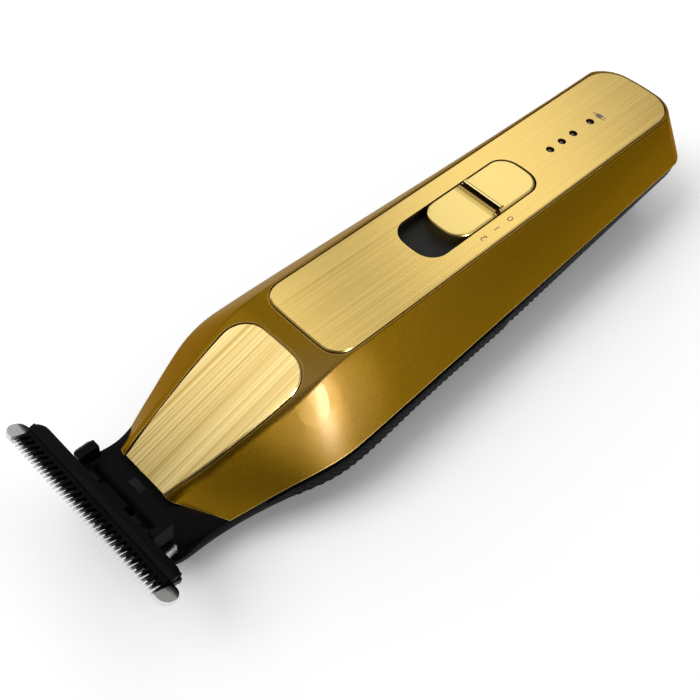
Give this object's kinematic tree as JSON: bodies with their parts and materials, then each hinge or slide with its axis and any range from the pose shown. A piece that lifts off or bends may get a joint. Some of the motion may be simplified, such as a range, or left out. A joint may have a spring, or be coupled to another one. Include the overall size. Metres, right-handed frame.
{
  "type": "hair trimmer",
  "caption": "Cordless hair trimmer with a wide T-shaped toothed blade, a sloped nose, a gold front cover with inlaid plates, a slide switch and a dark rear cover.",
  "frame": {"origin": "under the middle of the outline, on the surface the trimmer rests on", "axes": "+X from the blade to the tail, +Z out of the switch face"},
  "size_m": [0.16, 0.0452, 0.0271],
  "materials": {
    "gold_body": "satin metallic",
    "gold_plate": "brushed lengthwise",
    "gold_slider": "satin metallic",
    "black_plastic": "satin",
    "grip_rubber": "matt",
    "steel": "ground",
    "black_steel": "satin black coating",
    "lamp_clear": "clear",
    "board_green": "satin",
    "contact_brass": "bright",
    "cell_wrap": "satin",
    "core_iron": "dull",
    "coil_copper": "enamelled wire"
  },
  "bodies": {
    "housing": {"front_cover": "gold_body", "rear_cover": "black_plastic", "side_grips": "grip_rubber", "top_plate": "gold_plate", "badge_plate": "gold_plate", "slot_liner": "black_plastic", "light_guide": "lamp_clear", "circuit_board": "board_green", "board_screws": "steel", "indicator_leds": "lamp_clear", "switch_contacts": "contact_brass", "case_screws": "steel", "inlet_socket": "black_plastic", "inlet_pins": "steel", "chassis": "black_plastic", "battery_cell": "cell_wrap", "battery_tabs": "steel", "motor_frame": "steel", "stator_core": "core_iron", "motor_coil": "coil_copper", "guide_shafts": "steel", "neck_housing": "black_plastic", "neck_seal": "grip_rubber"},
    "switch": {"switch_slider": "gold_slider", "switch_foot": "black_plastic", "switch_wiper": "contact_brass"},
    "mover": {"mover_carrier": "black_plastic", "mover_yoke": "core_iron", "mover_magnets": "core_iron", "drive_pin": "steel"},
    "blade_block": {"blade_frame": "black_plastic", "fixed_blade": "steel", "blade_screws": "black_steel", "blade_clip": "steel"},
    "cutter": {"moving_blade": "black_steel", "blade_bar": "black_steel", "drive_fork": "black_plastic"}
  },
  "joints": [
    {"name": "switch_slide", "type": "slide", "parent": "housing", "child": "switch", "axis": [-1, 0, 0], "range_m": [0, 0.0081]},
    {"name": "drive_slide", "type": "slide", "parent": "housing", "child": "mover", "axis": [0, 1, 0], "range_m": [-0.0012, 0.0012], "stiffness_N_per_m": 400},
    {"name": "blade_release", "type": "slide", "parent": "housing", "child": "blade_block", "axis": [-1, 0, 0], "range_m": [0, 0.02]},
    {"name": "blade_slide", "type": "slide", "parent": "blade_block", "child": "cutter", "axis": [0, 1, 0], "range_m": [-0.0012, 0.0012]}
  ],
  "couplings": [
    {"joint": "blade_slide", "follows": "drive_slide", "ratio": 1}
  ]
}
